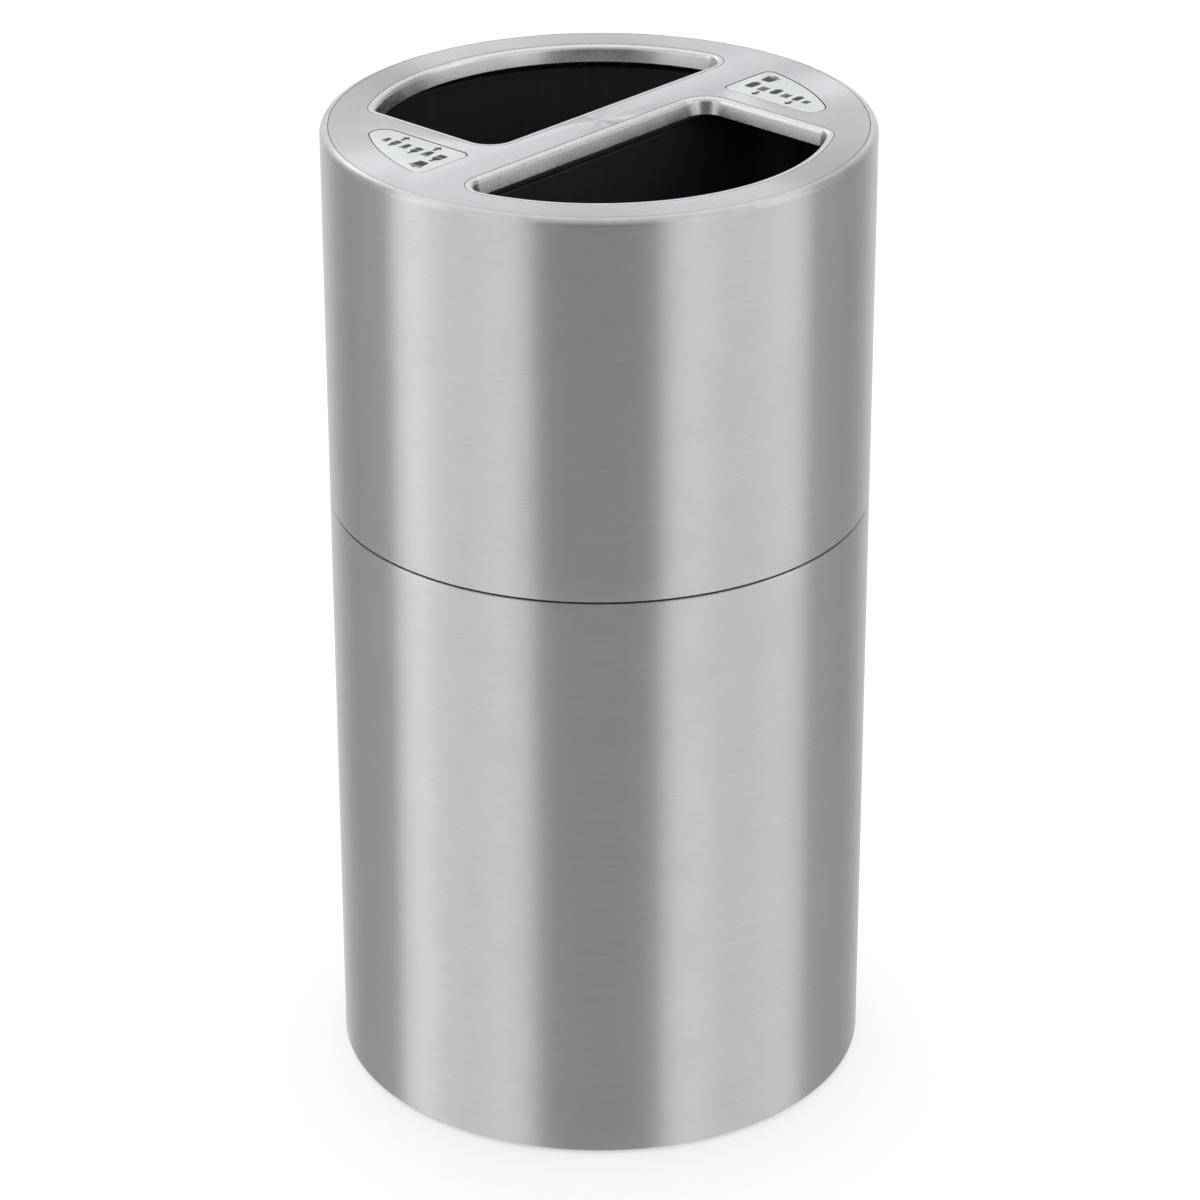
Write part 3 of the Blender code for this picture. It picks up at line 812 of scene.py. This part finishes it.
def liner_sections():
    """(inset, height): inside floor, wall, rolled rim, skirt, then back down the outside."""
    floor_z = LINER_BOTTOM + LINER_WALL
    inside = [(LINER_FLOOR_INSET + LINER_FLOOR_ROUND, floor_z)]
    inside += [(LINER_FLOOR_INSET + across, floor_z + rise)
               for rise, across in quarter(LINER_FLOOR_ROUND, range(15, 91, 15))]
    rim = [(LINER_RIM_WIDTH - across, LINER_RIM_Z - drop)
           for across, drop in quarter(RIM_ROUND, range(0, 91, 18))]
    rim += [(across, LINER_RIM_Z - drop) for across, drop in quarter(RIM_ROUND, range(90, -1, -18))]
    skirt = LINER_RIM_Z - LINER_SKIRT
    under = LINER_RIM_Z - LINER_WALL
    outside = [(0.0, skirt + EDGE), (EDGE, skirt), (LINER_WALL - EDGE, skirt),
               (LINER_WALL, skirt + EDGE), (LINER_WALL, under - EDGE), (LINER_WALL + EDGE, under),
               (LINER_RIM_WIDTH - LINER_WALL - EDGE, under),
               (LINER_RIM_WIDTH - LINER_WALL, under - EDGE)]
    outside += [(LINER_FLOOR_INSET - LINER_WALL + across, LINER_BOTTOM + rise)
                for rise, across in quarter(LINER_FLOOR_ROUND + LINER_WALL, range(90, -1, -15))]
    return inside + rim + outside


def make_liner(name, node, body, turn, plastic):
    sections = [(turn_if(liner_outline(inset), turn), z) for inset, z in liner_sections()]
    place_piece(lofted(name, sections, [plastic]), body, "black_plastic", node)


def make_pieces():
    brushed = brushed_metal("brushed_aluminium", (0.78, 0.785, 0.79), (0.90, 0.90, 0.905), 0.39)
    top_brushed = brushed_metal("brushed_top", (0.735, 0.74, 0.76), (0.845, 0.85, 0.87), 0.42)
    plastic, steel, rubber, mill = moulded_plastic(), zinc_steel(), soft_rubber(), mill_metal()
    label, ink = label_metal(), label_ink()
    # Painted shade for the gap between the top plate and the shoulder, and for the grooves round
    # the lips
    rim_painted_shade = painted_gap_shade("rim_painted_shade", (0.20, 0.20, 0.205), (0.34, 0.34, 0.34))
    make_upper_shell(brushed, rim_painted_shade, shaded_shoulder_metal())
    make_lower_shell(brushed)
    # Painted shade for the gap round each label plate, in its pocket
    pocket_shade = painted_gap_shade("label_pocket_shade", (0.020, 0.021, 0.024), (0.06, 0.06, 0.06))
    make_top_plate(top_brushed, lip_metal(), rim_painted_shade, pocket_shade)
    top = make_label("plastics_label", "plastics_label_plate", False, label)
    make_label("cans_label", "cans_label_plate", True, label)
    make_pictograms("plastics_pictograms", False, bottle_shapes, cup_shapes, top, ink)
    make_pictograms("cans_pictograms", True, can_shapes, tin_shapes, top, ink)
    make_collar(mill)
    make_base_pan(mill)
    make_gasket(rubber)
    make_feet(rubber, steel)
    make_studs(steel)
    make_liner("plastics_liner_tub", "plastics_liner", "plastics_bin", False, plastic)
    make_liner("cans_liner_tub", "cans_liner", "cans_bin", True, plastic)


# ---------------------------------------------------------------- camera, floor and light

CAMERA_AZIMUTH = -47.5         # degrees round the drum
CAMERA_PITCH = 25.718          # degrees below the horizon
CAMERA_ROLL = 0.117            # degrees
CAMERA_REACH = 15.359 * OUTER_R
CAMERA_HEIGHT = 9.214 * OUTER_R
LENS = 136.04                  # millimetres
SENSOR = 36.0


def make_camera():
    data = bpy.data.cameras.new("camera")
    data.lens = LENS
    data.sensor_width = SENSOR
    camera = bpy.data.objects.new("camera", data)
    bpy.context.scene.collection.objects.link(camera)
    yaw = math.radians(CAMERA_AZIMUTH)
    back = Vector((math.sin(yaw), -math.cos(yaw), 0))
    turn = Matrix.Rotation(yaw, 4, "Z") @ Matrix.Rotation(math.radians(90 - CAMERA_PITCH), 4, "X")
    turn = turn @ Matrix.Rotation(math.radians(-CAMERA_ROLL), 4, "Z")
    place = back * CAMERA_REACH + Vector((0, 0, CAMERA_HEIGHT))
    camera.matrix_world = Matrix.Translation(place) @ turn
    bpy.context.scene.camera = camera


FLOOR_SIZE = 60
FLOOR_GLOW = 0.34


def make_floor():
    bpy.ops.mesh.primitive_plane_add(size=FLOOR_SIZE)
    floor = bpy.context.object
    floor.name = "floor"
    material, shader, nodes = start_material("pale_floor", 0.6, 0.0, Specular_IOR_Level=0.2)
    cloud = nodes.noise(object_place(nodes), 1.5, 2.0)
    connect(nodes, shader, nodes.mix_color(cloud, (0.86, 0.86, 0.86), (0.88, 0.88, 0.88)))
    shader.inputs["Emission Color"].default_value = (1.0, 1.0, 1.0, 1.0)
    shader.inputs["Emission Strength"].default_value = FLOOR_GLOW
    floor.data.materials.append(material)
    floor.visible_glossy = False


# Light by the height of its direction: (height from, height to, light from, light to)
FRONT_LOW = (-0.85, -0.12, 0.62, 0.03)
FRONT_HIGH = (0.05, 0.5, 0.0, 0.32)
SIDE_GAIN = (-0.9, -0.1, 0.88, 1.04)
BASE_LIGHT = 0.33
TOP_LIGHT = 0.60
TOP_BLEND = (0.55, 0.90)       # heights between which the top light takes over
FRONT_WIDTH = (30, 8)          # half width and softness of the dim front, in degrees
# Soft panels round the drum: azimuth from the front, half width and softness in degrees, strength
PANELS = (
    (-59.5, 32.5, 1.5, 0.40), (-41, 8, 5, 0.10), (-83, 8, 3, 0.30),
    (59.5, 34, 2, 0.39), (38, 9, 5, 0.14), (84, 8, 4, 0.10),
    (180, 31, 19, 0.43),
)
# Small light high behind the drum, which makes the fan on the top: azimuth, elevation, half
# width and softness in degrees, strength
REAR_LIGHT = (-155, 33, 5, 5, 2.6)
# Strip lights at the sides: azimuth, half width, elevation, half height in degrees, strength
STRIPS = (
    (-98, 16, 42, 3.5, 1.6), (98, 16, 42, 3.5, 1.6),
    (-97, 14, 0, 10, 0.21), (97, 14, 0, 10, 0.21),
)
STRIP_SOFTNESS = 6             # degrees, at the ends
STRIP_FADE = 0.02              # in height, above and below


def make_world():
    world = bpy.data.worlds.new("studio")
    bpy.context.scene.world = world
    world.use_nodes = True
    tree = world.node_tree
    nodes = Nodes(tree)
    way = nodes.add("ShaderNodeTexCoord").outputs["Generated"]
    up = nodes.add("ShaderNodeSeparateXYZ", {0: way}).outputs[2]
    level = nodes.add("ShaderNodeVectorMath", {0: way, 1: (1, 1, 0)}, operation="MULTIPLY")
    flat = nodes.add("ShaderNodeVectorMath", {0: level.outputs[0]},
                     operation="NORMALIZE").outputs[0]

    def spot(vector, azimuth, elevation, half, soft):
        """A soft disc of light, or a soft upright panel if the vector is a flat one."""
        angle, tilt = math.radians(CAMERA_AZIMUTH + azimuth), math.radians(elevation)
        direction = (math.sin(angle) * math.cos(tilt), -math.cos(angle) * math.cos(tilt),
                     math.sin(tilt))
        near = nodes.add("ShaderNodeVectorMath", {0: vector, 1: direction},
                         operation="DOT_PRODUCT").outputs["Value"]
        outer = math.cos(math.radians(half + soft))
        inner = math.cos(math.radians(max(half - soft, 0)))
        return nodes.ramp(near, outer, inner, 0, 1, smooth=True)

    def mix(factor, first, second):
        return nodes.add("ShaderNodeMix", {"Factor": factor, "A": first, "B": second},
                         data_type="FLOAT").outputs[0]

    def add_glow(light, shape, strength):
        return nodes.math("ADD", light, nodes.math("MULTIPLY", shape, strength))

    front_light = nodes.math("MAXIMUM", nodes.ramp(up, *FRONT_LOW), nodes.ramp(up, *FRONT_HIGH))
    side_gain = nodes.ramp(up, *SIDE_GAIN)
    light = mix(spot(flat, 0, 0, *FRONT_WIDTH), BASE_LIGHT, front_light)
    for azimuth, half, soft, strength in PANELS:
        panel = nodes.math("MULTIPLY", spot(flat, azimuth, 0, half, soft), strength)
        light = add_glow(light, panel, side_gain)
    light = mix(nodes.ramp(up, *TOP_BLEND, 0, 1, smooth=True), light, TOP_LIGHT)
    for azimuth, half, elevation, half_height, strength in STRIPS:
        low, high = (math.sin(math.radians(elevation + side * half_height)) for side in (-1, 1))
        above = nodes.ramp(up, low - STRIP_FADE, low + STRIP_FADE, 0, strength)
        below = nodes.ramp(up, high - STRIP_FADE, high + STRIP_FADE, 1, 0)
        strip = spot(flat, azimuth, 0, half, STRIP_SOFTNESS)
        light = add_glow(light, strip, nodes.math("MULTIPLY", above, below))
    *shape, strength = REAR_LIGHT
    light = add_glow(light, spot(way, *shape), strength)
    tint = nodes.blend(up, -0.2, 0.6, (1.0, 1.0, 0.99), (0.985, 0.99, 1.0))
    glossy = nodes.add("ShaderNodeVectorMath", {0: tint, "Scale": light},
                       operation="SCALE").outputs[0]
    paths = nodes.add("ShaderNodeLightPath").outputs
    light = nodes.mix_color(paths["Is Diffuse Ray"], glossy, (0.85, 0.85, 0.85))
    light = nodes.mix_color(paths["Is Camera Ray"], light, (1.0, 1.0, 1.0))
    tree.links.new(light, tree.nodes["Background"].inputs["Color"])


SOFTBOX_SIZE = (2.4, 1.6)
SOFTBOX_POWER = 5
SOFTBOX_BACK = 0.9             # behind the drum, seen from the camera
SOFTBOX_HEIGHT = 2.9


def make_lights():
    """A large overhead softbox for the liners and a soft shadow on the floor."""
    data = bpy.data.lights.new("overhead_softbox", "AREA")
    data.shape = "RECTANGLE"
    data.size, data.size_y = SOFTBOX_SIZE
    data.energy = SOFTBOX_POWER
    lamp = bpy.data.objects.new("overhead_softbox", data)
    bpy.context.scene.collection.objects.link(lamp)
    yaw = math.radians(CAMERA_AZIMUTH)
    lamp.location = (-math.sin(yaw) * SOFTBOX_BACK, math.cos(yaw) * SOFTBOX_BACK, SOFTBOX_HEIGHT)
    aim = Vector((0, 0, HEIGHT)) - lamp.location
    lamp.rotation_euler = aim.to_track_quat("-Z", "Y").to_euler()
    lamp.visible_camera = False


bpy.context.scene.view_settings.view_transform = "Standard"
make_pieces()
make_camera()
make_floor()
make_world()
make_lights()
